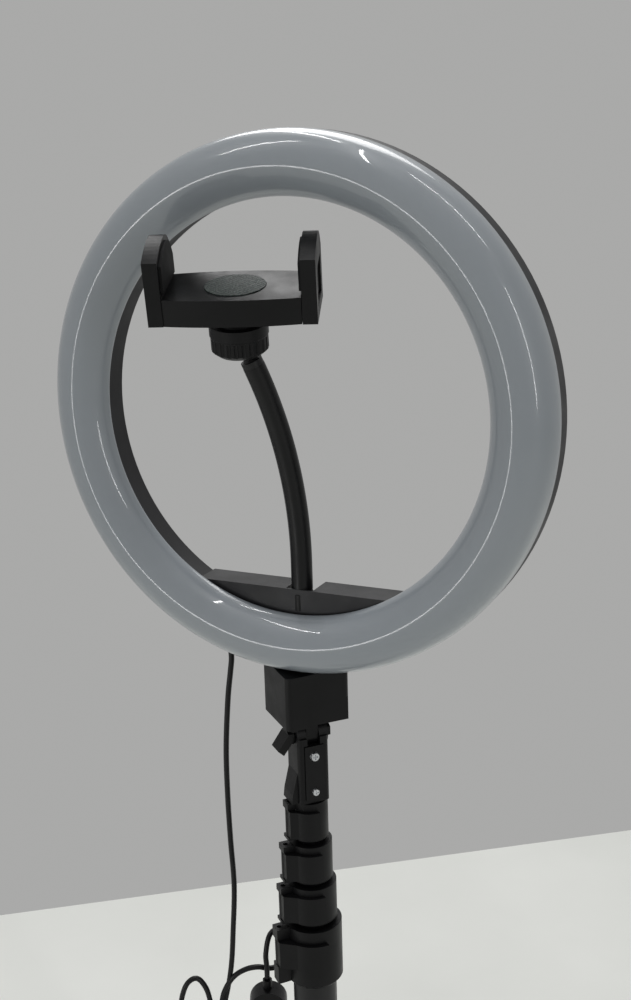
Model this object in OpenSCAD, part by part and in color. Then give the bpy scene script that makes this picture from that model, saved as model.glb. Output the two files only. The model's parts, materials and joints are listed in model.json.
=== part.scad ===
// Ring light on a collapsed telescopic stand, with a phone clip on a gooseneck.
// Frame: +Z up, the ring faces -Y, the origin is on the floor under the mast's axis.

/* [Ring] */
// Outer radius of the ring
ring_r = 130; // [124:1:136]
// Inner radius of the diffuser
ring_inner_r = 100; // [97:1:102]
// Height of the ring's centre above the floor, stand collapsed
ring_h = 605; // [603:1:607]
// Radius of the diffuser's crest
crest_r = 113.2; // [111:0.2:116]
// Height of the crest above the diffuser's inner lip
crest_h = 13.2; // [10:0.2:16]
// Depth of the rear housing behind the inner lip
housing_depth = 19; // [18:0.5:21]
// Wall of the housing and the diffuser
shell_wall = 2; // [1.6:0.1:2.4]
// Number of LEDs in each of the two rows
led_count = 30; // [12:6:36]

/* [Stand] */
// Turn of the stand about the mast, seen from above
stand_yaw = 48; // [0:1:90]
// Outer radius of the bottom mast tube
mast_r = 11.75; // [11.75:0.05:11.8]
// Step in radius from one tube to the next
mast_step = 1.5; // [1.45:0.05:1.5]
// Length of a leg from its pin to its foot
leg_len = 188; // [170:1:200]
// Direction of the first leg, from the front towards the right
leg_azimuth = 84; // [80:1:88]

/* [Phone clip] */
// Gap between the jaws at rest
clip_gap = 62; // [58:1:66]
// Depth of the clip's plate
clip_depth = 36; // [32:1:38]
// Height of the jaws above the plate
jaw_h = 22.5; // [18:0.5:26]
// Turn of the clip towards the right, on its ball
clip_yaw = 20.7; // [0:0.1:30]
// Forward pitch of the clip, on its ball
clip_pitch = 15.4; // [0:0.1:25]

/* [Gooseneck and cord] */
// Radius of the gooseneck's sleeve
goose_r = 5.2; // [4.8:0.1:5.4]
// Radius of the curve that the gooseneck is bent to
goose_bend_r = 242; // [220:1:260]
// Radius of the cord
cord_r = 1.5; // [1.3:0.1:1.6]

/* [Hidden] */

$fn = 64;
eps = 0.01;                 // overlap that keeps cuts clean
gap = 0.3;                  // room between moulded pieces that move past each other
pin_gap = 0.05;             // running clearance of a pin in its bore

black = [0.05, 0.05, 0.055];
dark = [0.1, 0.1, 0.11];
milky = [0.72, 0.76, 0.8];
steel = [0.75, 0.76, 0.78];

// ---- ring: local frame has x right, y up, z towards the front ----
ring_plane_y = -11.6;       // Y of the diffuser's inner lip
seam_z = -5.6;              // where the diffuser meets the housing's outer wall
bore_r = ring_inner_r + 3.4; // housing's inner wall
outer_bulge = 2.6;          // superellipse exponent outside the crest
inner_bulge = 1.6;          // superellipse exponent inside the crest
arc_steps = 14;
post_r = 117;               // circle of the diffuser's screw posts
post_count = 6;
board_z = -14.2;
board_t = 1.2;

// ---- bridge across the bottom of the ring ----
bridge_y = -88;             // height of its top face, from the ring's centre
bridge_front_z = -2.5;
notch_x = 2.1;              // centre of the notch that takes the gooseneck
notch_w = 14.6;
notch_floor_y = -99;

// ---- gooseneck ----
goose_x = 1.6;
goose_z = -8;               // in the ring's frame
goose_straight = 23.7;       // ferrule and straight start above the notch's floor
goose_arc = 24.2;           // whole bend, shared by three lengths
goose_azimuth = -39.2;       // it leans forwards and to the left
goose_y = ring_plane_y - goose_z;
goose_arc_z = ring_h + notch_floor_y + goose_straight;
seg_arc = goose_arc / 3;
stud_len = 16;              // from the gooseneck's end to the ball's centre

// ---- phone clip: local frame has its origin at the ball's centre ----
clip_lean = goose_bend_r * (1 - cos(goose_arc)) + stud_len * sin(goose_arc);
clip_rise = goose_bend_r * sin(goose_arc) + stud_len * cos(goose_arc);
clip_pos = [goose_x + clip_lean * sin(goose_azimuth), goose_y - clip_lean * cos(goose_azimuth),
    goose_arc_z + clip_rise];
ball_r = 6.1;
plate_low = 11.6;           // underside of the plate
plate_top = 24;
jaw_t = 6.8;
nut_low = -8.2;
nut_top = 6.5;
nut_r = 13.8;
tongue_low = 14.8;
tongue_top = 20.8;
tongue_w = 22;
tongue_end_x = -8;          // inner end of the sliding jaw's tongue
rod_y = 8;
rod_r = 1.25;

// ---- stand head ----
pivot_z = 437;
block_half = 17;
block_low = 447;
neck_w = 17;
neck_low = 401;
screw_z = [427.1, 407.2];
bolt_r = 2.5;

// ---- mast ----
tube_wall = 1;
function tube_r(i) = mast_r - mast_step * (i - 1);
tube_low = [3, 30, 34, 38, 42];
tube_high = [318, 344, 368, 392, 421];
collar_low = [294, 329.3, 353, 376.7];
collar_high = [329, 352.7, 376.4, 400.4];
collar_wall = [3.65, 2.8, 2.6, 2.4];
lever_reach = [8, 7.2, 6.6, 5.2];
hinge_r = 2.4;              // lever's barrel around its pin

// ---- legs ----
leg_pin_r = 27;
leg_pin_z = 62;
leg_w = 12;
leg_t = 9;
bar_w = leg_w - 0.6;
foot_r = 7;
leg_drop = asin((leg_pin_z - foot_r + 0.2) / leg_len);

// ---- in-line controller ----
ctrl_pos = [-31, 2.5, 244];
ctrl_yaw = 26;
ctrl_len = 62;
ctrl_w = 21;
ctrl_t = 12;

// ---- cord coil on the floor and plug ----
coil_pos = [-110, 12];
coil_mid_r = 17;
coil_h = 12.6;
coil_w = 9.6;
plug_pos = [-110, 60];

cord_x = -44;
cord_z = -13.8;             // in the ring's frame: the gland opens under the housing
cord_y = ring_plane_y - cord_z;
gland_low_z = 474.5;
// Route of the cord from the ring's gland to the controller
upper_route = [
    [cord_x, cord_y, gland_low_z - 0.1], [cord_x, cord_y, 469.5], [-45, 2, 462], [-47, 1.4, 446], [-49, 0.6, 418], [-49.4, 0.4, 390],
    [-49, 0.4, 364], [-48.4, 0.8, 336], [-50, 0, 308], [-52, -1, 284], [-56, -3, 262],
    [-61, -7, 243], [-68, -12, 232], [-76, -16, 240], [-77, -17, 260], [-74, -15, 275],
    [-69, -11, 279], [-64, -9, 272], [-61, -8, 258], [-58, -6, 256], [-56, -4, 268],
    [-51, -2, 278], [-45, 1, 283], [-38, 4, 285], [-31, 9, 283], [-26, 14, 286],
    [-25, 17, 296], [-27, 14, 306], [-30.5, 7, 306], [-31.6, 3.2, 296], [-31, 2.5, 288],
    [-31, 2.5, 280]
];
// Route of the cord from the controller down to the coil
lower_route = [
    [-31, 2.5, 208], [-31, 2.5, 198], [-31.5, 3, 170], [-33, 4, 140], [-35, 5, 110],
    [-37, 5.5, 80], [-39, 5.8, 50], [-42, 5.5, 28], [-48, 4, 12], [-58, 1, 3.4],
    [-70, -2.5, 1.6], [-82, -5.6, 1.6], [-93, -7, 1.6], [-102, -6.9, 1.6]
];
// Route of the tail from the coil to the plug
tail_route = [
    [-130.2, 12, 11], [-130.6, 19, 9.8], [-130.4, 27, 7], [-128, 36, 4.8], [-123.5, 46, 4.2],
    [-117, 54, 4.6], [-110, 60, 4.6]
];

// ---------------------------------------------------------------- helpers
function unit(v) = v / norm(v);
function spline(a, b, c, d, t) =
    0.5 * (2 * b + (c - a) * t + (2 * a - 5 * b + 4 * c - d) * t * t
    + (3 * b - a - 3 * c + d) * t * t * t);
function smooth(p, n) = concat(
    [for (i = [0:len(p) - 2]) for (k = [0:n - 1])
        spline(p[max(i - 1, 0)], p[i], p[i + 1], p[min(i + 2, len(p) - 1)], k / n)],
    [p[len(p) - 1]]);
function tangent(p, i) = unit(p[min(i + 1, len(p) - 1)] - p[max(i - 1, 0)]);
function upright(u, t) = unit(u - (u * t) * t);
function carried(p, u, i = 0) = i >= len(p) ? [] :
    let (s = upright(u, tangent(p, i))) concat([s], carried(p, s, i + 1));

// A tube swept along the points of p, with n sides
module swept(p, r, n = 8, start = [0, 1, 0.1]) {
    s = carried(p, start);
    points = [for (i = [0:len(p) - 1]) for (k = [0:n - 1])
        let (t = tangent(p, i), a = 360 * k / n)
        p[i] + r * (cos(a) * s[i] + sin(a) * cross(t, s[i]))];
    last = (len(p) - 1) * n;
    walls = [for (i = [0:len(p) - 2]) for (k = [0:n - 1]) for (half = [0, 1])
        let (a = i * n + k, b = a + n, c = (i + 1) * n + (k + 1) % n, d = i * n + (k + 1) % n)
        half == 0 ? [a, b, c] : [a, c, d]];
    polyhedron(points, concat([[for (k = [0:n - 1]) k]],
        [[for (k = [n - 1:-1:0]) last + k]], walls), convexity = 8);
}

module tube_between(r_out, r_in, low, high) {
    translate([0, 0, low]) difference() {
        cylinder(r = r_out, h = high - low);
        translate([0, 0, -1]) cylinder(r = r_in, h = high - low + 2);
    }
}

module ring_frame() translate([0, ring_plane_y, ring_h]) rotate([90, 0, 0]) children();
module stand_frame() rotate([0, 0, stand_yaw]) children();
module clip_frame() translate(clip_pos) rotate([clip_pitch, 0, clip_yaw]) children();

// Frame at a point of the gooseneck's arc, a degrees up from its start, z along it
module goose_frame(a) {
    translate([goose_x, goose_y, goose_arc_z]) rotate([0, 0, goose_azimuth])
        translate([0, -goose_bend_r * (1 - cos(a)), goose_bend_r * sin(a)])
        rotate([a, 0, 0]) children();
}

// ---------------------------------------------------------------- ring
// Half of a superellipse corner: from the crest out to radius reach, down by drop
function bulge(reach, drop, power, inward) = [for (k = [0:arc_steps])
    let (a = 90 * k / arc_steps)
    [crest_r + inward * reach * pow(sin(a), 2 / power),
     crest_h - drop + drop * pow(cos(a), 2 / power)]];
function flip(list) = [for (i = [len(list) - 1:-1:0]) list[i]];

module diffuser() {
    out_reach = ring_r - crest_r;
    in_reach = crest_r - ring_inner_r;
    wall = shell_wall - 0.2;
    outside = concat(
        flip(bulge(out_reach, crest_h - seam_z, outer_bulge, 1)),
        bulge(in_reach, crest_h, inner_bulge, -1));
    inside = concat(
        [[ring_inner_r + 0.3, -1], [bore_r + 2.2, -1]],
        [for (q = flip(bulge(in_reach - wall - 3.6, crest_h - wall, inner_bulge, -1)))
            [q[0], q[1] - wall]],
        [for (q = bulge(out_reach - wall, crest_h - seam_z - wall, outer_bulge, 1))
            [q[0], q[1] - wall]]);
    color(milky) ring_frame() {
        difference() {
            union() {
                rotate_extrude($fn = 180) polygon(concat(outside, inside));
                for (i = [0:post_count - 1]) rotate(360 / post_count * i) translate([post_r, 0, -16.8])
                    cylinder(r = 3, h = 28.4, $fn = 32);
            }
            for (i = [0:post_count - 1]) rotate(360 / post_count * i) translate([post_r, 0, -18])
                cylinder(r = 1.1, h = 12, $fn = 24);
        }
    }
}

module ring_housing() {
    back = -housing_depth;
    color(dark) ring_frame() difference() {
        union() {
            rotate_extrude($fn = 180) polygon([
                [ring_r, seam_z], [ring_r, back + 3.2], [ring_r - 0.6, back + 1.6],
                [ring_r - 1.8, back + 0.5], [ring_r - 3.6, back], [bore_r + 3, back],
                [bore_r + 1, back + 0.6], [bore_r, back + 2.2], [bore_r, -1],
                [bore_r + shell_wall, -1], [bore_r + shell_wall, back + 2],
                [ring_r - shell_wall, back + 2], [ring_r - shell_wall, seam_z]]);
            for (r = [109, 124.4]) tube_between(r + 1.2, r, back + 1, board_z);
            rotate(-90) translate([ring_r - 9, 0, back + 1]) cylinder(r = 7.5, h = 11, $fn = 48);
        }
        for (i = [0:post_count - 1]) rotate(360 / post_count * i) translate([post_r, 0, back - 1]) {
            cylinder(r = 1.5, h = 8, $fn = 24);
            cylinder(r = 2.7, h = 2.2, $fn = 32);
        }
        // Seat of the threaded insert, opening downwards
        translate([0, -ring_r + 13.5, -11.6]) rotate([90, 0, 0]) cylinder(r = 4.6, h = 20, $fn = 40);
        // Hole of the cord gland, opening downwards
        translate([cord_x, -ring_r, cord_z]) rotate([90, 0, 0])
            cylinder(r = 2.6, h = 30, center = true, $fn = 32);
        tube_between(ring_r + 20, ring_r, -40, 0);
    }
}

module led_board() {
    color("white") ring_frame() difference() {
        tube_between(126.4, 107.2, board_z, board_z + board_t);
        for (i = [0:post_count - 1]) rotate(360 / post_count * i) translate([post_r, 0, board_z - 1])
            cylinder(r = 3.3, h = 4, $fn = 32);
        rotate(-90) translate([ring_r - 9, 0, board_z - 1]) cylinder(r = 8, h = 4, $fn = 48);
    }
}

module leds() {
    step = 360 / led_count;
    color([0.95, 0.85, 0.4]) ring_frame() for (i = [0:led_count - 1]) {
        // The outer row leaves room for the boss at the bottom
        for (row = [0, 1]) let (a = step * (i + row / 2) + step / 4)
            if (row == 0 || abs(a - 270) > 5) rotate(a)
                translate([row == 0 ? 110.6 : 123.2, 0, board_z + board_t + 0.4])
                cube([2.8, 3.5, 0.8], center = true);
    }
}

// A cross-recessed screw along +Z with its head's top at z = 0
module cross_screw(head_r, head_h, shank_r, length) {
    difference() {
        union() {
            translate([0, 0, -head_h]) cylinder(r1 = head_r, r2 = head_r * 0.8, h = head_h, $fn = 32);
            translate([0, 0, -length]) cylinder(r = shank_r, h = length - head_h + eps, $fn = 24);
        }
        for (a = [0, 90]) rotate(a) cube([head_r * 1.1, head_r * 0.24, head_h * 1.1], center = true);
    }
}

module rear_screws() {
    color(steel) ring_frame() for (i = [0:post_count - 1]) rotate(360 / post_count * i)
        translate([post_r, 0, -housing_depth]) mirror([0, 0, 1])
        cross_screw(2.4, 1.2, 1.1, 9);
}

module bridge() {
    depth = housing_depth + bridge_front_z;
    color(dark) ring_frame() difference() {
        translate([0, 0, -housing_depth]) linear_extrude(depth) intersection() {
            circle(r = bore_r, $fn = 180);
            translate([-80, -120]) square([160, 120 + bridge_y]);
        }
        translate([notch_x - notch_w / 2, notch_floor_y, -housing_depth - 1])
            cube([notch_w, 40, depth - 0.1]);
        // Two open pockets in the rear, either side of the gooseneck's seat
        for (side = [-1, 1]) translate([0, 0, -housing_depth - 1]) linear_extrude(depth - 1)
            intersection() {
                circle(r = bore_r - shell_wall, $fn = 180);
                translate([notch_x + side * (notch_w / 2 + 2) - (side < 0 ? 60 : 0), -110])
                    square([60, 110 + bridge_y - shell_wall]);
            }
        translate([goose_x, notch_floor_y + 1, goose_z]) rotate([90, 0, 0]) cylinder(r = 2.55, h = 8, $fn = 32);
    }
}

module arm_ferrule() {
    low = ring_h + notch_floor_y;
    color(dark) translate([goose_x, goose_y, 0]) {
        translate([0, 0, low]) cylinder(r = goose_r + 0.5, h = 8, $fn = 48);
        translate([0, 0, low + 8]) cylinder(r1 = goose_r + 0.5, r2 = goose_r, h = 1.5, $fn = 48);
        translate([0, 0, low + 9]) cylinder(r = goose_r, h = goose_straight - 9, $fn = 48);
        translate([0, 0, low - 4]) cylinder(r = 2.5, h = 4.5, $fn = 32);
    }
}

module cord_gland() {
    seat_z = ring_h - sqrt(ring_r * ring_r - cord_x * cord_x);
    color(black) translate([cord_x, cord_y, 0]) rotate_extrude($fn = 40) polygon([
        [0, gland_low_z], [1.9, gland_low_z], [2.5, seat_z - 2], [2.5, seat_z + 2.4],
        [0, seat_z + 2.4]]);
}

module thread_insert() {
    y = ring_plane_y + 11.6;
    color([0.8, 0.62, 0.3]) translate([0, y, 0]) tube_between(4.6, 3.15, ring_h - ring_r + 0.6, ring_h - ring_r + 12);
}

// ---------------------------------------------------------------- stand head
module head_block() {
    top = ring_h - ring_r + 3;
    color(black) difference() {
        stand_frame() union() {
            difference() {
                translate([0, 0, block_low]) linear_extrude(top - block_low)
                    offset(r = 3, $fn = 24) square(2 * block_half - 6, center = true);
                // Recess under the brow of the front face
                translate([-6, -block_half - 5, block_low - 1]) cube([40, 7, 14]);
            }
            // Shoulder that runs down to the neck on the lever's side
            translate([0, 11, 0]) rotate([90, 0, 0]) linear_extrude(22)
                polygon([[-block_half, block_low + 6], [-block_half, block_low + 2],
                    [-15.6, block_low - 1], [-12.6, block_low - 3.4], [-9.2, block_low - 3.8],
                    [-9.2, block_low + 6]]);
            // Tongue in the neck's fork
            translate([-3.2, 0, 0]) rotate([0, 90, 0]) linear_extrude(6.4) union() {
                translate([-pivot_z, 0]) circle(r = 6.6);
                translate([-block_low - 2, -6.6]) square([block_low + 2 - pivot_z, 13.2]);
            }
        }
        // Saddle that hugs the ring
        translate([0, 60, ring_h]) rotate([90, 0, 0]) cylinder(r = ring_r + 0.1, h = 120, $fn = 180);
        // Bore of the mounting screw and the pocket of its head, open to the rear
        translate([0, 0, block_low + 12]) cylinder(r = 3.3, h = 30, $fn = 40);
        translate([0, 0, block_low + 9]) cylinder(r = 6.2, h = 5, $fn = 40);
        stand_frame() translate([-6, 0, block_low + 9]) cube([12, 30, 5]);
        translate([0, 0, pivot_z]) stand_frame() rotate([0, 90, 0])
            cylinder(r = bolt_r + pin_gap, h = 40, center = true, $fn = 40);
    }
}

module mount_screw() {
    color(steel) {
        translate([0, 0, block_low + 9.2]) cylinder(r = 6, h = 4.8, $fn = 40);
        translate([0, 0, block_low + 13]) cylinder(r = 3.1, h = 24, $fn = 40);
    }
}

module neck_plan(grow = 0) offset(r = 2.5 + grow, $fn = 24) square([neck_w - 5, neck_w - 5], center = true);

module neck_body() {
    color(black) stand_frame() difference() {
        union() {
            translate([0, 0, neck_low]) linear_extrude(pivot_z - neck_low) neck_plan();
            translate([-neck_w / 2, 0, pivot_z]) rotate([0, 90, 0]) cylinder(r = 7.4, h = neck_w, $fn = 48);
            // Foot that flares over the top collar on the lever's side
            translate([0, 6, 0]) rotate([90, 0, 0]) linear_extrude(12)
                polygon([[-6, neck_low], [-12, neck_low], [-11.4, neck_low + 5], [-8, neck_low + 19], [-6, neck_low + 19]]);
        }
        // Fork for the tongue
        translate([-3.5, -12, pivot_z - 7.4]) cube([7, 24, 20]);
        translate([0, 0, neck_low - 1]) cylinder(r = tube_r(5), h = 21.2);
        // Seat of the front cover
        translate([-5.4, -neck_w / 2 - 1, neck_low + 2]) cube([10.8, 2.2, 30]);
        for (z = screw_z) translate([0, -neck_w / 2, z]) rotate([90, 0, 0])
            cylinder(r = 1.3, h = 4.8, center = true, $fn = 24);
        translate([0, 0, pivot_z]) rotate([0, 90, 0]) cylinder(r = bolt_r + pin_gap, h = 40, center = true, $fn = 40);
    }
}

module neck_cover() {
    color(dark) stand_frame() difference() {
        translate([-5.2, -neck_w / 2 - 0.6, neck_low + 2.2]) cube([10.4, 1.8, 29.6]);
        for (z = screw_z) translate([0, -neck_w / 2, z]) rotate([90, 0, 0])
            cylinder(r = 1.5, h = 6, center = true, $fn = 24);
    }
}

module neck_screws() {
    color(steel) stand_frame() for (i = [0, 1])
        translate([0, -neck_w / 2 - 1.9 + 0.1 * i, screw_z[i]]) rotate([90, 0, 0])
        cross_screw(2.6 - 0.5 * i, 1.3 - 0.1 * i, 1.2, 3.9);
}

module tilt_lever() {
    hub_x = -neck_w / 2 - gap;
    color(black) stand_frame() translate([0, 0, pivot_z]) union() {
        rotate([0, 90, 0]) cylinder(r = bolt_r, h = neck_w + 3, center = true, $fn = 40);
        translate([neck_w / 2 + gap, 0, 0]) rotate([0, 90, 0]) cylinder(r = 4.4, h = 2.6, $fn = 6);
        translate([hub_x - 3.4, 0, 0]) rotate([0, 90, 0]) cylinder(r = 4.6, h = 3.4, $fn = 40);
        // Wing, bent outwards and down
        translate([0, 4.75, 0]) rotate([90, 0, 0]) linear_extrude(9.5)
            polygon([[hub_x - 3.2, 2.6], [hub_x - 1, 2.6], [hub_x - 1.2, -2], [hub_x - 3, -4.4],
                [hub_x - 6.2, -8.4], [hub_x - 9.2, -5.6]]);
        for (k = [0:3]) translate([hub_x - 5.2 - 0.95 * k, 0, -1.2 - 1.2 * k]) rotate([90, 0, 0])
            cylinder(r = 0.5, h = 9, center = true, $fn = 16);
    }
}

// ---------------------------------------------------------------- gooseneck
module goose_arc_length(i) {
    color(black) goose_frame(seg_arc * (i - 1)) translate([0, -goose_bend_r, 0])
        rotate([0, 90, 0]) rotate([0, 0, 90])
        rotate_extrude(angle = seg_arc, $fn = 360) translate([goose_bend_r, 0]) circle(r = goose_r, $fn = 32);
}
module gooseneck_1() goose_arc_length(1);
module gooseneck_2() goose_arc_length(2);
module gooseneck_3() goose_arc_length(3);

module ball_stud() {
    color(steel) goose_frame(goose_arc) union() {
        cylinder(r = goose_r, h = 3, $fn = 40);
        translate([0, 0, 3 - eps]) cylinder(r1 = 4, r2 = 2.8, h = 2, $fn = 40);
        cylinder(r = 2.8, h = stud_len, $fn = 40);
        translate([0, 0, stud_len]) sphere(r = ball_r);
    }
}

// ---------------------------------------------------------------- phone clip
module clip_socket() {
    color(black) clip_frame() difference() {
        union() {
            translate([0, 0, -4.5]) cylinder(r = 10.2, h = 12, $fn = 64);
            translate([0, 0, 7]) cylinder(r = 8, h = plate_low - 7, $fn = 48);
        }
        sphere(r = ball_r + gap);
        translate([0, 0, -12]) cylinder(r1 = 12.5, r2 = 5.8, h = 9, $fn = 48);
    }
}

module clip_nut() {
    flutes = 24;
    color(black) clip_frame() difference() {
        rotate_extrude($fn = 96) polygon([
            [9.4, nut_low], [nut_r - 3, nut_low], [nut_r - 0.4, nut_low + 2.2],
            [nut_r - 0.4, nut_low + 9], [nut_r, nut_low + 9.4], [nut_r, nut_top],
            [10.5, nut_top], [10.5, -5], [9.4, -5]]);
        for (i = [0:flutes - 1]) rotate(360 / flutes * i) translate([nut_r + 0.1, 0, nut_low - 1])
            cylinder(r = 1.1, h = 9.4, $fn = 20);
    }
}

// Plan of the plate: straight ends, long sides bowed by a large circle
module plate_plan(half_x, half_y, bow) {
    big = (half_x * half_x + bow * bow) / (2 * bow);
    intersection() {
        translate([-half_x, -half_y - bow]) square([2 * half_x, 2 * (half_y + bow)]);
        translate([0, half_y + bow - big]) circle(r = big, $fn = 360);
        translate([0, big - half_y - bow]) circle(r = big, $fn = 360);
    }
}

// Outline of a jaw seen from its side: y across, z up, arched at the top
function jaw_arch(half, height) = concat(
    [for (k = [0:8]) let (t = k / 8) [4 - (half + 4) * (1 - t), height - 5.5 * pow(1 - t, 2)]],
    [for (k = [1:8]) let (t = k / 8) [4 + (half - 4) * t, height - 9.5 * pow(t, 2.2)]]);

module jaw_blade(half, top) {
    rotate([90, 0, 90]) linear_extrude(jaw_t) polygon(concat(
        [[half, plate_low], [-half, plate_low]], jaw_arch(half, top)));
}

module clip_base() {
    half = clip_gap / 2;
    color(black) clip_frame() difference() {
        union() {
            translate([0, 0, plate_low]) linear_extrude(plate_top - plate_low)
                plate_plan(half, clip_depth / 2 - 0.5, 2.4);
            translate([-half - jaw_t, 0, 0]) jaw_blade(clip_depth / 2, plate_top + jaw_h);
        }
        // Channel of the sliding tongue, closed from below by the cover
        translate([-half + 6, -tongue_w / 2 - gap, plate_low - 1])
            cube([2 * half, tongue_w + 2 * gap, tongue_top + gap - plate_low + 1]);
        // Seat of the inset disc
        translate([0, 0, plate_top - 1]) cylinder(r = 14.2, h = 3, $fn = 96);
        // Bores of the guide rods
        for (y = [-rod_y, rod_y]) translate([-half + 7, y, (tongue_low + tongue_top) / 2])
            rotate([0, -90, 0]) cylinder(r = rod_r, h = 6, $fn = 32);
        // Recess in the jaw's outer face
        translate([-half - jaw_t - 1, -11, plate_low + 5]) cube([2.2, 22, 18]);
    }
}

module clip_cover() {
    half = clip_gap / 2;
    color(black) clip_frame() translate([-half + 6.1, -tongue_w / 2 - 0.2, plate_low])
        cube([2 * half - 6.2, tongue_w + 0.4, tongue_low - plate_low - gap]);
}

module clip_disc() {
    color([0.2, 0.23, 0.22]) clip_frame() translate([0, 0, plate_top - 1]) cylinder(r = 14, h = 1.4, $fn = 96);
}

module jaw_pad(x) {
    translate([x, 0, 0]) rotate([90, 0, 90]) linear_extrude(1.2)
        polygon(concat([[15, plate_top + 2], [-15, plate_top + 2]], [for (q = jaw_arch(15, plate_top + jaw_h - 2.4)) q]));
}
module clip_pad_left() color(dark) clip_frame() jaw_pad(-clip_gap / 2);
module clip_pad_right() color(dark) clip_frame() jaw_pad(clip_gap / 2 + gap - 1.2);

module clip_guide_rods() {
    color(steel) clip_frame() for (y = [-rod_y, rod_y])
        translate([-clip_gap / 2 + 1.2, y, (tongue_low + tongue_top) / 2])
        rotate([0, 90, 0]) cylinder(r = rod_r, h = clip_gap - 3, $fn = 32);
}

module clip_spring() {
    x0 = -clip_gap / 2 + 6;
    turns = 7;
    per_turn = 10;
    span = tongue_end_x - x0;
    path = [for (k = [0:turns * per_turn]) let (a = 360 * k / per_turn)
        [x0 + 0.45 + (span - 0.9) * k / (turns * per_turn), 2 * cos(a), (tongue_low + tongue_top) / 2 + 2 * sin(a)]];
    color(steel) clip_frame() swept(path, 0.4, 6, [1, 0, 0]);
}

module clip_jaw() {
    half = clip_gap / 2;
    color(black) clip_frame() difference() {
        union() {
            translate([half + gap, 0, 0]) jaw_blade(clip_depth / 2, plate_top + jaw_h);
            translate([tongue_end_x, -tongue_w / 2, tongue_low])
                cube([half + 2 - tongue_end_x, tongue_w, tongue_top - tongue_low]);
        }
        for (y = [-rod_y, rod_y]) translate([tongue_end_x - 1, y, (tongue_low + tongue_top) / 2])
            rotate([0, 90, 0]) cylinder(r = rod_r + pin_gap, h = half - tongue_end_x + 1.4, $fn = 32);
        // Long recess in the jaw's outer face
        translate([half + gap + jaw_t - 1.2, -11, plate_low + 5]) cube([2.2, 22, 18]);
    }
}

// ---------------------------------------------------------------- mast
module mast_tube(i) {
    color([0.12, 0.12, 0.125]) tube_between(tube_r(i), tube_r(i) - tube_wall, tube_low[i - 1], tube_high[i - 1]);
}
module mast_tube_1() mast_tube(1);
module mast_tube_2() mast_tube(2);
module mast_tube_3() mast_tube(3);
module mast_tube_4() mast_tube(4);
module mast_tube_5() mast_tube(5);

// Distance of a lever's pin from the mast's axis
function pin_x(i) = tube_r(i) + collar_wall[i - 1] + lever_reach[i - 1] - hinge_r - 1.2;
function lever_low(i) = collar_low[i - 1] + (i == 1 ? 13 : 4.5);
lever_h = 15;

module lock_collar(i) {
    r = tube_r(i) + collar_wall[i - 1];
    low = collar_low[i - 1];
    high = collar_high[i - 1];
    px = pin_x(i);
    slot = [lever_low(i) - gap, lever_low(i) + lever_h + gap];
    color(black) stand_frame() difference() {
        union() {
            translate([0, 0, low + 2.4]) cylinder(r = r, h = high - low - 2.4, $fn = 96);
            translate([0, 0, low]) cylinder(r1 = r - 2, r2 = r, h = 2.4, $fn = 96);
            // Ears that carry the lever's pin, below and above it
            for (z = [[low + 2.4, slot[0]], [slot[1], high - 0.3]])
                translate([-px - hinge_r, -3.4, z[0]]) cube([px, 6.8, z[1] - z[0]]);
        }
        translate([0, 0, low - 1]) cylinder(r = tube_r(i), h = tube_high[i - 1] - low + 1, $fn = 96);
        translate([0, 0, low - 1]) cylinder(r = tube_r(i + 1) + pin_gap, h = high - low + 2, $fn = 96);
        // Flat that clears the lever's barrel
        translate([-px - 20, -20, slot[0]]) cube([20 + hinge_r + gap, 40, slot[1] - slot[0]]);
        translate([-px, 0, low - 1]) cylinder(r = 1.2 + pin_gap, h = high - low + 2, $fn = 32);
    }
}
module lock_collar_1() lock_collar(1);
module lock_collar_2() lock_collar(2);
module lock_collar_3() lock_collar(3);
module lock_collar_4() lock_collar(4);

// Lever: a barrel and its pin, and a plate that wraps round the collar's front
module lock_lever(i) {
    r = tube_r(i) + collar_wall[i - 1];
    px = pin_x(i);
    low = lever_low(i);
    out = r + 2.2;
    color(dark) stand_frame() {
        translate([0, 0, low]) linear_extrude(lever_h) difference() {
            union() {
                translate([-px, 0]) circle(r = hinge_r, $fn = 40);
                polygon([[-px - 2, 1], [-px - 1.8, -5], [-out * cos(38), -out * sin(38)],
                    [-r * cos(38), -r * sin(38)], [-r, 0], [-px, 2]]);
                intersection() {
                    circle(r = out, $fn = 96);
                    polygon([[0, 0], [-40 * cos(30), -40 * sin(30)], [-30, -40], [4, -40]]);
                }
            }
            circle(r = r + gap, $fn = 96);
        }
        for (z = [low - 2.6, low + lever_h]) translate([-px, 0, z]) cylinder(r = 1.2, h = 2.6, $fn = 32);
    }
}
module lock_lever_1() lock_lever(1);
module lock_lever_2() lock_lever(2);
module lock_lever_3() lock_lever(3);
module lock_lever_4() lock_lever(4);

// ---------------------------------------------------------------- base
module column_foot() {
    color(dark) difference() {
        union() {
            cylinder(r = 15, h = 10, $fn = 64);
            translate([0, 0, 10 - eps]) cylinder(r1 = 15, r2 = 13.4, h = 4, $fn = 64);
        }
        translate([0, 0, 3]) cylinder(r = tube_r(1), h = 20, $fn = 64);
    }
}

// Leg frame: x runs outwards along the leg's direction, with the pin at its place
module leg_frame(i) rotate([0, 0, leg_azimuth + 120 * (i - 1) - 90]) children();

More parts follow.
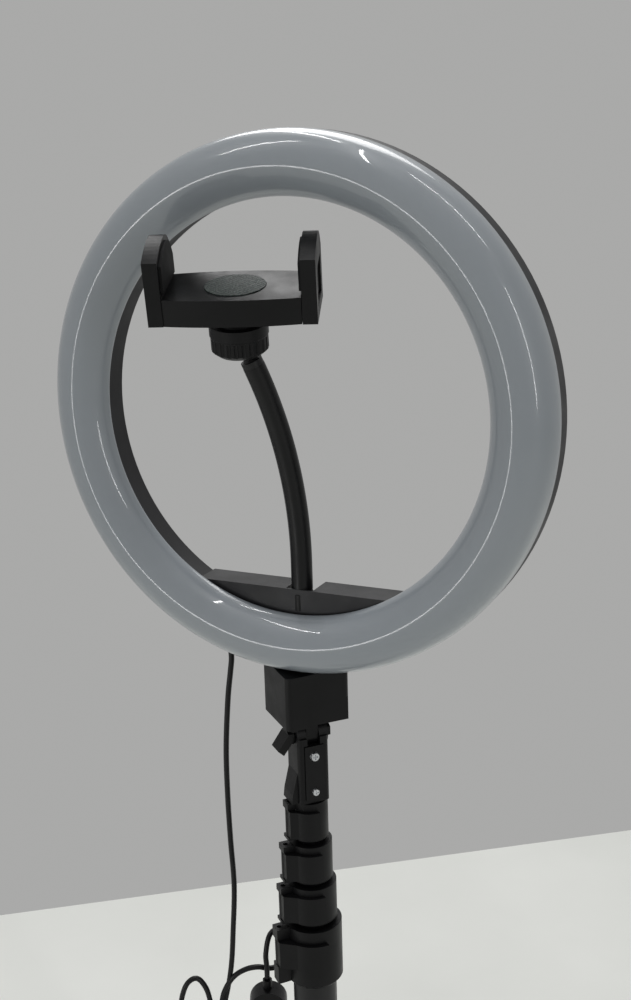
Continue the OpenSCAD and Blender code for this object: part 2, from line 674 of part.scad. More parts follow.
module leg_hub() {
    ear_half = leg_w / 2 + gap;
    color(black) difference() {
        union() {
            tube_between(17.5, tube_r(1), 40, 76);
            for (i = [1:3]) leg_frame(i) for (side = [-1, 1])
                translate([0, side * (ear_half + 2) - 2, 0]) {
                    translate([12, 0, leg_pin_z - 7]) cube([leg_pin_r - 12, 4, 14]);
                    translate([leg_pin_r, 0, leg_pin_z]) rotate([-90, 0, 0]) cylinder(r = 7, h = 4, $fn = 48);
                }
        }
        for (i = [1:3]) leg_frame(i) translate([leg_pin_r, 0, leg_pin_z]) rotate([90, 0, 0])
            cylinder(r = 2.5 + pin_gap, h = 40, center = true, $fn = 40);
        translate([0, 0, 30]) cylinder(r = tube_r(1), h = 60, $fn = 96);
    }
}

module leg(i) {
    color(black) leg_frame(i) translate([leg_pin_r, 0, leg_pin_z]) union() {
        rotate([90, 0, 0]) cylinder(r = 2.5, h = leg_w + 2 * gap + 8, center = true, $fn = 40);
        rotate([90, 0, 0]) cylinder(r = 6, h = leg_w, center = true, $fn = 48);
        rotate([0, leg_drop, 0]) difference() {
            translate([0, -bar_w / 2, -leg_t / 2]) cube([leg_len - 20, bar_w, leg_t]);
            translate([14, -bar_w / 2 + 2, -leg_t]) cube([leg_len - 44, bar_w - 4, leg_t]);
        }
    }
}
module leg_1() leg(1);
module leg_2() leg(2);
module leg_3() leg(3);

module leg_foot(i) {
    color(dark) intersection() {
        leg_frame(i) translate([leg_pin_r, 0, leg_pin_z]) rotate([0, leg_drop, 0]) {
            difference() {
                translate([leg_len - 26, 0, 0]) rotate([0, 90, 0]) cylinder(r = foot_r + 1, h = 26, $fn = 48);
                translate([leg_len - 40, -bar_w / 2, -leg_t / 2]) cube([20, bar_w, leg_t]);
                translate([leg_len - 5, -20, -20]) cube([40, 40, 40]);
            }
            translate([leg_len - 5 - eps, 0, 0]) rotate([0, 90, 0])
                cylinder(r1 = foot_r + 1, r2 = foot_r - 2, h = 5, $fn = 48);
        }
        translate([-300, -300, 0]) cube([600, 600, 100]);
    }
}
module leg_foot_1() leg_foot(1);
module leg_foot_2() leg_foot(2);
module leg_foot_3() leg_foot(3);

// ---------------------------------------------------------------- cord
module usb_cord_upper() color(black) swept(smooth(upper_route, 2), cord_r);

module usb_cord_lower() {
    color(black) {
        swept(smooth(lower_route, 1), cord_r);
        swept(smooth(tail_route, 1), cord_r);
    }
}

module cord_coil() {
    color(black) translate([coil_pos[0], coil_pos[1], 0]) rotate_extrude($fn = 72)
        translate([coil_mid_r - coil_w / 2, 0]) square([coil_w, coil_h]);
}

module cord_tie() {
    color(dark) translate([coil_pos[0] + coil_mid_r, coil_pos[1], 0]) rotate([90, 0, 0])
        linear_extrude(4, center = true) difference() {
            translate([-coil_w / 2 - 1, 0]) square([coil_w + 2, coil_h + 1.2]);
            translate([-coil_w / 2 - 0.05, -1]) square([coil_w + 0.1, coil_h + 1.1]);
        }
}

// Controller frame: z runs up its length, -y is its face with the keys
module ctrl_frame() translate(ctrl_pos) rotate([0, 0, ctrl_yaw]) children();

module ctrl_plan(grow) {
    hull() for (z = [-1, 1]) translate([0, z * (ctrl_len - ctrl_w) / 2]) circle(r = ctrl_w / 2 + grow, $fn = 48);
}

module controller_shell() {
    color(black) ctrl_frame() difference() {
        union() {
            translate([0, ctrl_t / 2, 0]) rotate([90, 0, 0]) linear_extrude(ctrl_t / 2 - 0.1) ctrl_plan(0);
            for (end = [-1, 1]) translate([0, 0, end * (ctrl_len / 2 + 2)])
                cylinder(r = 2.6, h = 6, center = true, $fn = 32);
        }
        translate([0, ctrl_t / 2 - 1.6, 0]) rotate([90, 0, 0]) linear_extrude(10) ctrl_plan(-1.6);
    }
}

module controller_cover() {
    color(dark) ctrl_frame() difference() {
        rotate([90, 0, 0]) linear_extrude(ctrl_t / 2) ctrl_plan(0);
        translate([0, eps, 0]) rotate([90, 0, 0]) linear_extrude(ctrl_t / 2 - 1.6) ctrl_plan(-1.6);
        translate([0, 0, 14]) rotate([90, 0, 0]) cylinder(r = 5 + gap, h = 20, $fn = 40);
        translate([-4 - gap, -20, -18 - gap]) cube([8 + 2 * gap, 40, 22 + 2 * gap]);
        for (s = [-1, 1]) translate([0, 0, s * ctrl_len / 2]) cylinder(r = 2.65, h = 14, center = true, $fn = 32);
    }
}

module button_power() {
    color([0.3, 0.3, 0.32]) ctrl_frame() translate([0, 0, 14]) rotate([90, 0, 0]) {
        translate([0, 0, ctrl_t / 2 - 3.4]) cylinder(r = 5, h = 4.6, $fn = 40);
        translate([0, 0, ctrl_t / 2 - 3.4]) cylinder(r = 6.4, h = 1, $fn = 40);
    }
}

module rocker_dimmer() {
    face = -ctrl_t / 2;
    color([0.3, 0.3, 0.32]) ctrl_frame() translate([-4, 0, -18]) rotate([90, 0, 90]) linear_extrude(8)
        polygon([[face + 3, 0], [face + 3, 22], [face - 1.4, 22], [face - 0.7, 11], [face - 1.4, 0]]);
}

module plug_frame() translate([plug_pos[0], plug_pos[1], 4.6]) rotate([0, 0, 40]) children();

module usb_plug_body() {
    color(black) plug_frame() union() {
        rotate([0, 90, 0]) cylinder(r1 = 2, r2 = 3, h = 9, $fn = 32);
        translate([8.5, -7.6, -4]) cube([22, 15.2, 8]);
    }
}

module usb_plug_shield() {
    color(steel) plug_frame() difference() {
        translate([30.5, -6, -2.25]) cube([12, 12, 4.5]);
        translate([31.5, -5.6, -1.85]) cube([12, 11.2, 3.7]);
    }
    color("white") plug_frame() translate([30.5, -5.2, 0]) cube([11, 10.4, 1.85]);
}

ring_housing();
diffuser();
led_board();
leds();
rear_screws();
bridge();
cord_gland();
thread_insert();
head_block();
mount_screw();
arm_ferrule();
gooseneck_1();
gooseneck_2();
gooseneck_3();
ball_stud();
clip_socket();
clip_nut();
clip_base();
clip_cover();
clip_disc();
clip_pad_left();
clip_guide_rods();
clip_spring();
clip_jaw();
clip_pad_right();
neck_body();
neck_cover();
neck_screws();
tilt_lever();
mast_tube_1();
mast_tube_2();
mast_tube_3();
mast_tube_4();
mast_tube_5();
lock_collar_1();
lock_collar_2();
lock_collar_3();
lock_collar_4();
lock_lever_1();
lock_lever_2();
lock_lever_3();
lock_lever_4();
leg_hub();
column_foot();
leg_1();
leg_2();
leg_3();
leg_foot_1();
leg_foot_2();
leg_foot_3();
usb_cord_upper();
usb_cord_lower();
cord_coil();
cord_tie();
controller_shell();
controller_cover();
button_power();
rocker_dimmer();
usb_plug_body();
usb_plug_shield();
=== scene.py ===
import json
from math import cos, pi, radians, sin, tau

import bmesh
import bpy
from mathutils import Matrix, Vector


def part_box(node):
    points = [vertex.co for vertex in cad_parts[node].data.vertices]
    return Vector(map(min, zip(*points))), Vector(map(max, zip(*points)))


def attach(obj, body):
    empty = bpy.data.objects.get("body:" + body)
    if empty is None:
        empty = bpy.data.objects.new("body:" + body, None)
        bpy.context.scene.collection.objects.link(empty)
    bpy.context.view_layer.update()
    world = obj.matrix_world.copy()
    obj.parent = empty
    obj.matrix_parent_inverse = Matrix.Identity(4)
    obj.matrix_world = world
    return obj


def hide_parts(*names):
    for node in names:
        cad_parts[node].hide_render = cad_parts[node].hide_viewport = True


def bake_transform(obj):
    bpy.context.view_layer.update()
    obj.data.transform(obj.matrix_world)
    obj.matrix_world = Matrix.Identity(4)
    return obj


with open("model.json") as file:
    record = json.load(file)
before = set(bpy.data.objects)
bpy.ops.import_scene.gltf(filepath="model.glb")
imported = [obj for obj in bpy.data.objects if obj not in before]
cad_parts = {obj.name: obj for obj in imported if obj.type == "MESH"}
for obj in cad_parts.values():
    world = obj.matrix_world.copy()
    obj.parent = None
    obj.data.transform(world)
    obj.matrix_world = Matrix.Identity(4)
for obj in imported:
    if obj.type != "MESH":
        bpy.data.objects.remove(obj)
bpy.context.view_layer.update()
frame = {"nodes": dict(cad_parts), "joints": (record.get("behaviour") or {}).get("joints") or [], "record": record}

MM = 0.001

# ---------------------------------------------------------------- driving places, in metres, in the row frame
JOINT = {j["name"]: j for j in frame["joints"]}

# The ring stands upright and faces -Y. Its crest is the ridge nearest to the viewer, the lip is its
# inner edge and the seam is where the diffuser meets the housing
RING_LOW, RING_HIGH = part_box("diffuser")
RING_X = (RING_LOW.x + RING_HIGH.x) / 2
RING_Z = (RING_LOW.z + RING_HIGH.z) / 2
RING_R = (RING_HIGH.z - RING_LOW.z) / 2
RING_INNER_R = RING_R - 30 * MM
CREST_R = RING_R - 16.8 * MM
CREST_Y = RING_LOW.y
LIP_Y = CREST_Y + 13.2 * MM
SEAM_Y = LIP_Y + 5.6 * MM

# Camera place, its axes and its lens
EYE = (0.25265, -0.51554, 0.70651)
EYE_RIGHT = (0.90644, 0.42142, -0.02773)
EYE_DOWN = (0.07988, -0.23554, -0.96858)
EYE_FORWARD = (-0.41471, 0.87574, -0.24716)
LENS_MM, SENSOR_MM = 43.49, 36

# The gooseneck rises straight out of its ferrule, then leans over on an arc
GOOSE_BEND_R = 242 * MM
GOOSE_ARC = radians(24.2)
SLEEVE_R = 5.32 * MM
SLEEVE_FOOT = 13.5 * MM
SLEEVE_STEPS, SLEEVE_SIDES = 26, 40

# Ends of the floor's far edge, and how far the floor runs past them and towards the camera
FLOOR_EDGE = (Vector((-0.517, 0.329, 0)), Vector((0.040, 0.739, 0)))
FLOOR_RUN, FLOOR_DEPTH = 3, 4
FLOOR_DROP = 0.2 * MM

# The room: its grey, the spot at the ring that its lights point at or near, and its ceiling lights
ROOM_GREY = (0.40, 0.40, 0.395, 1)
CEILING_Z = 2.5
RING_SPOT = (0, 0, 0.6)
TUBE_SIZE = (0.04, 1.2)
TUBE_PLACES = [(-1.1, -0.9), (0.0, -0.5), (1.1, -0.1), (-0.6, 0.7)]

# Edges that turn by more than this many degrees stay crisp
SHARP = 40


# ---------------------------------------------------------------- camera
def camera():
    """The viewer's place, a little above and to the right of the ring"""
    data = bpy.data.cameras.new("camera")
    data.sensor_fit = "VERTICAL"
    data.sensor_height = SENSOR_MM
    data.lens = LENS_MM
    eye = bpy.data.objects.new("camera", data)
    bpy.context.scene.collection.objects.link(eye)
    turn = Matrix((Vector(EYE_RIGHT), -Vector(EYE_DOWN), -Vector(EYE_FORWARD))).transposed().to_4x4()
    eye.matrix_world = Matrix.Translation(EYE) @ turn
    bpy.context.scene.camera = eye


# ---------------------------------------------------------------- mesh helpers
def mesh_object(name, verts, faces, smooth=True):
    """An object of its own, in the row frame"""
    data = bpy.data.meshes.new(name)
    data.from_pydata([tuple(v) for v in verts], [], faces)
    data.validate()
    data.update()
    obj = bpy.data.objects.new(name, data)
    bpy.context.scene.collection.objects.link(obj)
    for face in data.polygons:
        face.use_smooth = smooth
    return obj


def spline(points, steps):
    """Points of a smooth curve through the given ones"""
    out = []
    last = len(points) - 1
    for i in range(last):
        a, b, c, d = (points[min(max(k, 0), last)] for k in (i - 1, i, i + 1, i + 2))
        for k in range(steps):
            t = k / steps
            out.append(0.5 * (2 * b + (c - a) * t + (2 * a - 5 * b + 4 * c - d) * t * t
                              + (3 * b - a - 3 * c + d) * t * t * t))
    return out + [points[last]]


def even(points, step):
    """The same line cut into equal lengths of about one step"""
    whole = length_of(points)
    count = round(whole / step)
    out = [points[0]]
    passed = 0.0
    for a, b in zip(points, points[1:]):
        length = (b - a).length
        while len(out) < count and len(out) * whole / count <= passed + length:
            out.append(a.lerp(b, (len(out) * whole / count - passed) / length))
        passed += length
    return out + [points[-1]]


def length_of(points):
    """Length of the line through the points"""
    return sum((b - a).length for a, b in zip(points, points[1:]))


def tube(name, points, radius, sides):
    """A round solid along points"""
    count = len(points)
    side = Vector((0, 1, 0.1))
    verts, faces = [], []
    for i, point in enumerate(points):
        along = (points[min(i + 1, count - 1)] - points[max(i - 1, 0)]).normalized()
        side = (side - side.dot(along) * along).normalized()
        other = along.cross(side)
        for k in range(sides):
            turn = tau * k / sides
            verts.append(point + radius * (cos(turn) * side + sin(turn) * other))
    for i in range(count - 1):
        for k in range(sides):
            n = (k + 1) % sides
            faces.append((i * sides + k, i * sides + n, (i + 1) * sides + n, (i + 1) * sides + k))
    faces.append(tuple(reversed(range(sides))))
    faces.append(tuple((count - 1) * sides + k for k in range(sides)))
    return mesh_object(name, verts, faces)


def revolve_ring(name, profile, steps=288):
    """A closed profile of (radius, y) turned about the ring's axis"""
    verts, faces = [], []
    n = len(profile)
    for i in range(steps):
        turn = tau * i / steps
        for r, y in profile:
            verts.append((RING_X + r * cos(turn), y, RING_Z + r * sin(turn)))
    for i in range(steps):
        j = (i + 1) % steps
        for k in range(n):
            m = (k + 1) % n
            faces.append((i * n + k, i * n + m, j * n + m, j * n + k))
    obj = mesh_object(name, verts, faces)
    grid = bmesh.new()
    grid.from_mesh(obj.data)
    bmesh.ops.recalc_face_normals(grid, faces=grid.faces)
    grid.to_mesh(obj.data)
    grid.free()
    return obj


def sharpen(obj):
    """Keeps edges crisp where two faces meet at more than SHARP degrees"""
    grid = bmesh.new()
    grid.from_mesh(obj.data)
    for edge in grid.edges:
        if len(edge.link_faces) == 2 and edge.calc_face_angle(0) > radians(SHARP):
            edge.smooth = False
    for face in grid.faces:
        face.smooth = True
    grid.to_mesh(obj.data)
    grid.free()


# ---------------------------------------------------------------- materials
def shader(name, color, rough, metallic=0.0):
    """A plain material and its shader node, to build on"""
    mat = bpy.data.materials.new(name)
    mat.use_nodes = True
    bsdf = mat.node_tree.nodes["Principled BSDF"]
    bsdf.inputs["Base Color"].default_value = (*color, 1)
    bsdf.inputs["Roughness"].default_value = rough
    bsdf.inputs["Metallic"].default_value = metallic
    return mat, bsdf


def noise(mat, scale, detail, stretch=(1, 1, 1)):
    """Noise in the object's own space, as a factor of 0 to 1"""
    tree = mat.node_tree
    place = tree.nodes.new("ShaderNodeTexCoord")
    mapping = tree.nodes.new("ShaderNodeMapping")
    mapping.inputs["Scale"].default_value = stretch
    grain = tree.nodes.new("ShaderNodeTexNoise")
    grain.inputs["Scale"].default_value = scale
    grain.inputs["Detail"].default_value = detail
    tree.links.new(place.outputs["Object"], mapping.inputs["Vector"])
    tree.links.new(mapping.outputs["Vector"], grain.inputs["Vector"])
    return grain.outputs["Fac"]


def spread(mat, factor, low, high):
    """Maps a 0 to 1 factor on to low to high"""
    node = mat.node_tree.nodes.new("ShaderNodeMapRange")
    node.inputs["From Min"].default_value = 0.3
    node.inputs["From Max"].default_value = 0.7
    node.inputs["To Min"].default_value = low
    node.inputs["To Max"].default_value = high
    mat.node_tree.links.new(factor, node.inputs["Value"])
    return node.outputs["Result"]


def tint(mat, bsdf, factor, dark, light):
    """Colours from dark to light as the factor rises"""
    ramp = mat.node_tree.nodes.new("ShaderNodeValToRGB")
    ramp.color_ramp.elements[0].position = 0.32
    ramp.color_ramp.elements[1].position = 0.68
    ramp.color_ramp.elements[0].color = (*dark, 1)
    ramp.color_ramp.elements[1].color = (*light, 1)
    mat.node_tree.links.new(factor, ramp.inputs["Fac"])
    mat.node_tree.links.new(ramp.outputs["Color"], bsdf.inputs["Base Color"])


def bumped(mat, bsdf, height, strength, distance):
    """Fine relief from a height factor, distance deep at full strength"""
    bump = mat.node_tree.nodes.new("ShaderNodeBump")
    bump.inputs["Strength"].default_value = strength
    bump.inputs["Distance"].default_value = distance
    mat.node_tree.links.new(height, bump.inputs["Height"])
    mat.node_tree.links.new(bump.outputs["Normal"], bsdf.inputs["Normal"])


def moulded(name, dark, light, rough, grain=2600, strength=0.25, gloss=0.22):
    """Moulded plastic: fine spark texture, uneven gloss, faint change of shade"""
    mat, bsdf = shader(name, dark, rough)
    bsdf.inputs["Specular IOR Level"].default_value = gloss
    tint(mat, bsdf, noise(mat, 24, 4), dark, light)
    mat.node_tree.links.new(spread(mat, noise(mat, 60, 5), rough - 0.07, rough + 0.09),
                            bsdf.inputs["Roughness"])
    bumped(mat, bsdf, noise(mat, grain, 2), strength, 0.00012)
    return mat


def satin_metal(name, dark, light, rough):
    """Satin black coating on drawn tube: faint lines along it"""
    mat, bsdf = shader(name, dark, rough)
    bsdf.inputs["Specular IOR Level"].default_value = 0.35
    tint(mat, bsdf, noise(mat, 30, 4), dark, light)
    mat.node_tree.links.new(spread(mat, noise(mat, 500, 3, (1, 1, 0.02)), rough - 0.06, rough + 0.08),
                            bsdf.inputs["Roughness"])
    bumped(mat, bsdf, noise(mat, 1500, 3, (1, 1, 0.05)), 0.12, 0.0001)
    return mat


def plated_steel(name):
    """Bright plating, slightly uneven"""
    mat, bsdf = shader(name, (0.62, 0.63, 0.65), 0.3, 1.0)
    tint(mat, bsdf, noise(mat, 120, 4), (0.52, 0.53, 0.55), (0.72, 0.73, 0.75))
    mat.node_tree.links.new(spread(mat, noise(mat, 700, 4), 0.2, 0.38), bsdf.inputs["Roughness"])
    bumped(mat, bsdf, noise(mat, 2200, 2), 0.12, 0.0001)
    return mat


def turned_brass(name):
    """Brass with faint rings from the lathe"""
    mat, bsdf = shader(name, (0.66, 0.45, 0.17), 0.34, 1.0)
    tint(mat, bsdf, noise(mat, 90, 3), (0.58, 0.38, 0.13), (0.74, 0.53, 0.22))
    bumped(mat, bsdf, noise(mat, 900, 2, (0.1, 0.1, 6)), 0.2, 0.0001)
    return mat


def milky(name):
    """Opal acrylic: glossy skin over a soft body, with faint dust in the gloss"""
    mat, bsdf = shader(name, (0.26, 0.285, 0.31), 0.34)
    bsdf.inputs["Subsurface Weight"].default_value = 0.2
    bsdf.inputs["Subsurface Radius"].default_value = (0.01, 0.01, 0.011)
    bsdf.inputs["Subsurface Scale"].default_value = 0.3
    bsdf.inputs["Coat Weight"].default_value = 0.8
    bsdf.inputs["Coat Roughness"].default_value = 0.035
    tint(mat, bsdf, noise(mat, 5, 2), (0.245, 0.27, 0.295), (0.275, 0.30, 0.325))
    mat.node_tree.links.new(spread(mat, noise(mat, 40, 6), 0.30, 0.40), bsdf.inputs["Roughness"])
    bumped(mat, bsdf, noise(mat, 260, 2), 0.015, 0.0001)
    return mat


def zigzag(name):
    """The disc's soft inlay: rows of a fine zig-zag relief"""
    mat, bsdf = shader(name, (0.028, 0.04, 0.036), 0.55)
    tree = mat.node_tree
    place = tree.nodes.new("ShaderNodeTexCoord")
    turn = tree.nodes.new("ShaderNodeMapping")
    turn.inputs["Rotation"].default_value = (0, 0, radians(20.7))
    wave = tree.nodes.new("ShaderNodeTexWave")
    wave.wave_type = "BANDS"
    wave.bands_direction = "X"
    wave.wave_profile = "TRI"
    wave.inputs["Scale"].default_value = 160
    wave.inputs["Distortion"].default_value = 5
    wave.inputs["Detail Scale"].default_value = 3
    tree.links.new(place.outputs["Object"], turn.inputs["Vector"])
    tree.links.new(turn.outputs["Vector"], wave.inputs["Vector"])
    tint(mat, bsdf, wave.outputs["Fac"], (0.016, 0.024, 0.022), (0.05, 0.066, 0.06))
    bumped(mat, bsdf, wave.outputs["Fac"], 0.8, 0.0004)
    return mat


def materials():
    """One look for each of the record's material slots"""
    return {
        "housing": moulded("housing", (0.012, 0.012, 0.0135), (0.019, 0.019, 0.021), 0.5, gloss=0.35),
        "diffuser": milky("diffuser"),
        "board": moulded("board", (0.7, 0.71, 0.71), (0.78, 0.79, 0.79), 0.4),
        "led": moulded("led", (0.8, 0.62, 0.2), (0.86, 0.7, 0.28), 0.25),
        "screw_steel": plated_steel("screw_steel"),
        "black_plastic": moulded("black_plastic", (0.0022, 0.0022, 0.0026), (0.005, 0.005, 0.0056), 0.4),
        "black_metal": satin_metal("black_metal", (0.005, 0.005, 0.0055), (0.009, 0.009, 0.0098), 0.36),
        "gooseneck": moulded("gooseneck", (0.0022, 0.0022, 0.0026), (0.0045, 0.0045, 0.005), 0.36,
                             900, 0.2, 0.3),
        "disc": zigzag("disc"),
        "pad": moulded("pad", (0.004, 0.004, 0.0045), (0.008, 0.008, 0.0085), 0.68),
        "brass": turned_brass("brass"),
        "foot_rubber": moulded("foot_rubber", (0.005, 0.005, 0.0055), (0.01, 0.01, 0.0105), 0.75),
        "cord_rubber": moulded("cord_rubber", (0.002, 0.002, 0.0024), (0.0045, 0.0045, 0.005), 0.34,
                               500, 0.12, 0.3),
        "key": moulded("key", (0.03, 0.03, 0.033), (0.05, 0.05, 0.055), 0.28, gloss=0.5),
    }


def finish_cad_nodes(looks):
    """Every CAD node that stays takes the material of its own slot"""
    slot_of = {p["node"]: p["material_slot"] for p in frame["record"]["subparts"]}
    for name, obj in frame["nodes"].items():
        obj.data.materials.clear()
        obj.data.materials.append(looks[slot_of[name]])


def dress(obj, looks, slot):
    """Gives a piece the look of a slot, in a material that bears the slot's name"""
    obj.data.materials.append(looks[slot])
    return obj


# ---------------------------------------------------------------- the cords, routes in millimetres
CORD_R = 1.5 * MM
CORD_STEP = 1.5 * MM
CORD_SIDES = 12
GLAND = (-44, 2.2, 474.5)
# Gland to controller, with the two loops beside the mast
UPPER_ROUTE = [
    GLAND, (-44, 2.2, 469.5), (-45, 2, 462), (-47, 1.4, 446), (-49, 0.6, 418),
    (-49.4, 0.4, 390), (-49, 0.4, 364), (-48.4, 0.8, 336), (-50, 0, 308), (-52, -1, 284),
    (-56, -3, 262), (-61, -7, 243), (-68, -12, 232), (-76, -16, 240), (-77, -17, 260),
    (-74, -15, 275), (-69, -11, 279), (-64, -9, 272), (-61, -8, 258), (-58, -6, 256),
    (-56, -4, 268), (-51, -2, 278), (-45, 1, 283), (-38, 4, 285), (-31, 9, 283),
    (-26, 14, 286), (-25, 17, 296), (-27, 14, 306), (-30.5, 7, 306), (-31.6, 3.2, 296),
    (-31, 2.5, 288), (-31, 2.5, 280),
]
# Controller to the coil on the floor
LOWER_ROUTE = [
    (-31, 2.5, 208), (-31, 2.5, 198), (-31.5, 3, 170), (-33, 4, 140), (-35, 5, 110),
    (-37, 5.5, 80), (-39, 5.8, 50), (-42, 5.5, 28), (-48, 4, 12), (-58, 1, 3.4),
    (-70, -2.5, 1.6), (-82, -5.6, 1.6), (-93, -7, 1.6), (-102, -6.9, 1.6),
]
# Top of the coil to the plug
TAIL_ROUTE = [
    (-130.6, 19, 9.8), (-130.4, 27, 7), (-128, 36, 4.8), (-123.5, 46, 4.2), (-117, 54, 4.6),
    (-110, 60, 4.6),
]
# The coil: its middle, its lowest layer, the turns in a layer, the points in a turn, its radii
COIL = (-110, 12)
COIL_LOW_Z = 1.6
COIL_TURNS = 2
COIL_STEPS = 36
COIL_OUTER_R = 20.2
COIL_INNER_R = 13.9
COIL_LAYERS = 4
COIL_PITCH = 3.15
# Turns that a climb takes, before rounding to what makes the coil end at its exit
COIL_CLIMB = 0.4
# Angles, in degrees, where the cord joins the lowest layer and leaves the top one
COIL_ENTRY = -66
COIL_EXIT = -180
# Points in each span of the splines along the routes, and along the tail
SPLINE_STEPS = 10
TAIL_STEPS = 8


def coil_turns():
    """Layers that wind in, climb, wind out and climb again, clockwise, a cord's width apart"""
    climbs = COIL_LAYERS - 1
    flat = COIL_LAYERS * COIL_TURNS
    last_part = (COIL_ENTRY - COIL_EXIT) / 360
    sweep = round(flat + climbs * COIL_CLIMB - last_part) + last_part
    climb = (sweep - flat) / climbs
    out = []
    angle = COIL_ENTRY
    for layer in range(COIL_LAYERS):
        start, end = (COIL_OUTER_R, COIL_INNER_R) if layer % 2 == 0 else (COIL_INNER_R, COIL_OUTER_R)
        steps = COIL_TURNS * COIL_STEPS
        z = COIL_LOW_Z + COIL_PITCH * layer
        for k in range(steps + 1):
            r = start + (end - start) * k / steps
            a = radians(angle - 360 * COIL_TURNS * k / steps)
            out.append((COIL[0] + r * cos(a), COIL[1] + r * sin(a), z))
        angle -= 360 * COIL_TURNS
        if layer < COIL_LAYERS - 1:
            steps = int(climb * COIL_STEPS)
            for k in range(1, steps):
                t = k / steps
                rise = t * t * (3 - 2 * t)
                a = radians(angle - 360 * climb * t)
                out.append((COIL[0] + end * cos(a), COIL[1] + end * sin(a), z + COIL_PITCH * rise))
            angle -= 360 * climb
    return out


def metres(points):
    """Millimetre points as vectors in metres"""
    return [Vector(p) * MM for p in points]


def cords(looks):
    """The cord in two lengths: gland to controller, and controller to plug"""
    upper = even(spline(metres(UPPER_ROUTE), SPLINE_STEPS), CORD_STEP)
    top = tube("usb_cord_top", upper, CORD_R, CORD_SIDES)
    dress(top, looks, "cord_rubber")
    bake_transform(top)
    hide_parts("usb_cord_upper")

    coil = metres(coil_turns())
    before = spline(metres(LOWER_ROUTE) + coil[:2], SPLINE_STEPS)[:-SPLINE_STEPS]
    after = spline(coil[-2:] + metres(TAIL_ROUTE), TAIL_STEPS)[TAIL_STEPS:]
    line = even(before + coil + after, CORD_STEP)
    low = tube("usb_cord_low", line, CORD_R, CORD_SIDES)
    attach(dress(low, looks, "cord_rubber"), "mast_top")
    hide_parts("usb_cord_lower", "cord_coil")


# ---------------------------------------------------------------- the gooseneck
def gooseneck(looks):
    """One satin sleeve in three lengths, following the straight foot and the arc"""
    start = Vector(JOINT["goose_bend_1"]["pos_m"])
    lean = Vector(JOINT["goose_bend_1"]["axis"]).cross(Vector((0, 0, 1)))

    def at(angle):
        """Point of the sleeve's middle line; angles below 0 are the straight foot"""
        if angle < 0:
            return start + Vector((0, 0, GOOSE_BEND_R * angle))
        return start + lean * GOOSE_BEND_R * (1 - cos(angle)) + Vector((0, 0, GOOSE_BEND_R * sin(angle)))

    third = GOOSE_ARC / 3
    foot = -SLEEVE_FOOT / GOOSE_BEND_R
    spans = [(foot, third / 2), (third / 2, third * 1.5), (third * 1.5, GOOSE_ARC)]
    for i, (low, high) in enumerate(spans):
        line = [at(low + (high - low) * k / SLEEVE_STEPS) for k in range(SLEEVE_STEPS + 1)]
        piece = tube(f"gooseneck_sleeve_{i + 1}", line, SLEEVE_R, SLEEVE_SIDES)
        sharpen(piece)
        dress(piece, looks, "gooseneck")
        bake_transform(piece)
        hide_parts(f"gooseneck_{i + 1}")


# ---------------------------------------------------------------- the ring
def flank(reach, drop, power, start, steps):
    """(out, down) along one flank of the ring, a superellipse from the ridge to where it stands upright"""
    low_out = sin(start) ** (2 / power)
    high = cos(start) ** (2 / power)
    out = []
    for k in range(steps + 1):
        a = start + (pi / 2 - start) * k / steps
        up = cos(a) ** (2 / power) if k < steps else 0.0
        out.append((reach * (sin(a) ** (2 / power) - low_out) / (1 - low_out), drop * (1 - up / high)))
    return out


def diffuser(looks):
    """Opal front: a broad outer flank and a steeper inner one that meet in a narrow rounded ridge"""
    steps = 34
    wall = 1.8 * MM
    ridge = 0.5 * MM
    seat = LIP_Y + 1 * MM
    outer_power, outer_start = 2.5, radians(7)
    inner_power, inner_start = 1.75, radians(19)
    outer = flank(RING_R - CREST_R, SEAM_Y - CREST_Y, outer_power, outer_start, steps)
    inner = flank(CREST_R - RING_INNER_R, LIP_Y - CREST_Y, inner_power, inner_start, steps)
    outside = [(CREST_R + out, CREST_Y + down) for out, down in outer if out == 0 or out > ridge]
    inside = [(CREST_R - out, CREST_Y + down) for out, down in inner if out > ridge]
    skin = list(reversed(outside)) + inside
    # The back follows both flanks from a wall behind the crest, with fewer points, down to a flat seat
    back = [(RING_INNER_R + 0.3 * MM, seat), (RING_INNER_R + 5.4 * MM, seat)]
    back += [(CREST_R - out * 0.5, CREST_Y + wall + down * 0.6) for out, down in reversed(inner[::6])]
    back += [(CREST_R + out * 0.89, CREST_Y + wall + down * 0.9) for out, down in outer[6::6]]
    back += [(RING_R - wall, SEAM_Y)]
    piece = revolve_ring("diffuser_front", skin + back)
    sharpen(piece)
    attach(dress(piece, looks, "diffuser"), "light_head")
    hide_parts("diffuser")


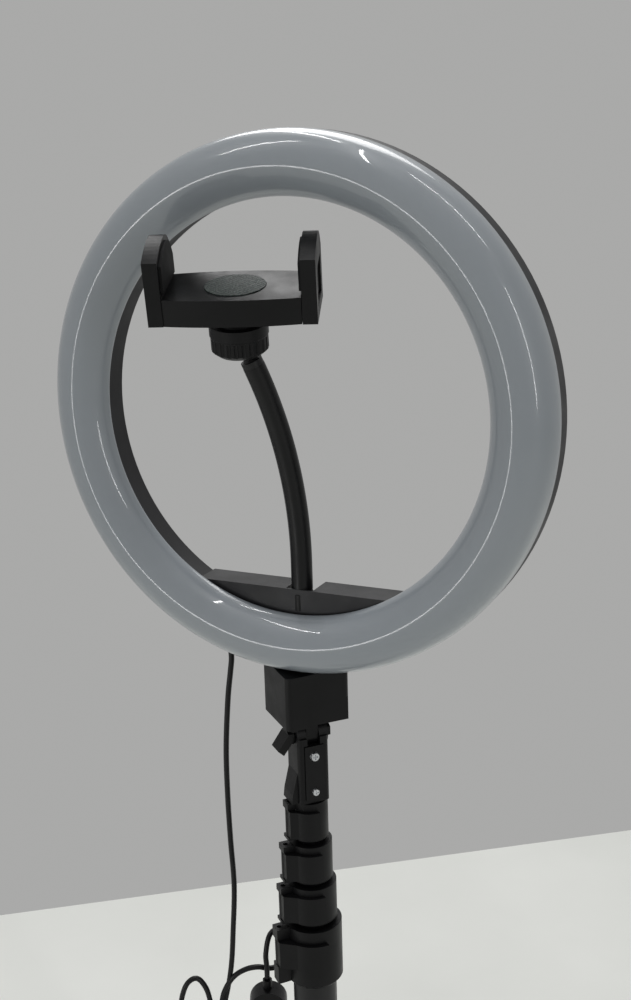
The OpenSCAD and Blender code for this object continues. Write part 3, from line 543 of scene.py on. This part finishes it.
# ---------------------------------------------------------------- floor and light
def floor():
    """Pale floor whose far edge runs behind the stand"""
    left, right = FLOOR_EDGE
    along = (right - left).normalized()
    near = Vector((along.y, -along.x, 0))
    far = [left - along * FLOOR_RUN, right + along * FLOOR_RUN]
    corners = far + [corner + near * FLOOR_DEPTH for corner in reversed(far)]
    obj = mesh_object("floor", [c - Vector((0, 0, FLOOR_DROP)) for c in corners], [(0, 3, 2, 1)], False)
    mat, bsdf = shader("floor", (0.72, 0.73, 0.7), 0.6)
    tint(mat, bsdf, noise(mat, 3, 5), (0.68, 0.69, 0.66), (0.76, 0.77, 0.74))
    obj.data.materials.append(mat)


def area_light(name, place, target, size, power):
    """A lamp of size metres at place, turned to target"""
    data = bpy.data.lights.new(name, "AREA")
    data.shape = "RECTANGLE"
    data.size, data.size_y = size
    data.energy = power
    lamp = bpy.data.objects.new(name, data)
    bpy.context.scene.collection.objects.link(lamp)
    lamp.location = place
    aim = Vector(target) - Vector(place)
    lamp.rotation_euler = aim.to_track_quat("-Z", "Y").to_euler()


def lighting():
    """Grey room with ceiling tubes and a narrow window, whose glints run along the ring"""
    world = bpy.data.worlds.new("room")
    bpy.context.scene.world = world
    world.use_nodes = True
    world.node_tree.nodes["Background"].inputs["Color"].default_value = ROOM_GREY
    world.node_tree.nodes["Background"].inputs["Strength"].default_value = 1.0
    for k, (x, y) in enumerate(TUBE_PLACES):
        area_light(f"ceiling_tube_{k + 1}", (x, y, CEILING_Z), (x / 2, y / 2, RING_SPOT[2]), TUBE_SIZE, 5)
    area_light("window", (1.9, -1.2, 1.1), RING_SPOT, (0.08, 1.4), 5)
    area_light("crest_fill", (-0.84, -1.75, 0.27), RING_SPOT, (0.3, 0.5), 4)
    area_light("floor_fill", (-0.4, 0.9, 1.6), (-0.5, 0.7, 0), (1.2, 0.6), 9)
    bpy.context.scene.view_settings.view_transform = "Standard"


camera()
LOOKS = materials()
finish_cad_nodes(LOOKS)
cords(LOOKS)
gooseneck(LOOKS)
diffuser(LOOKS)
floor()
lighting()
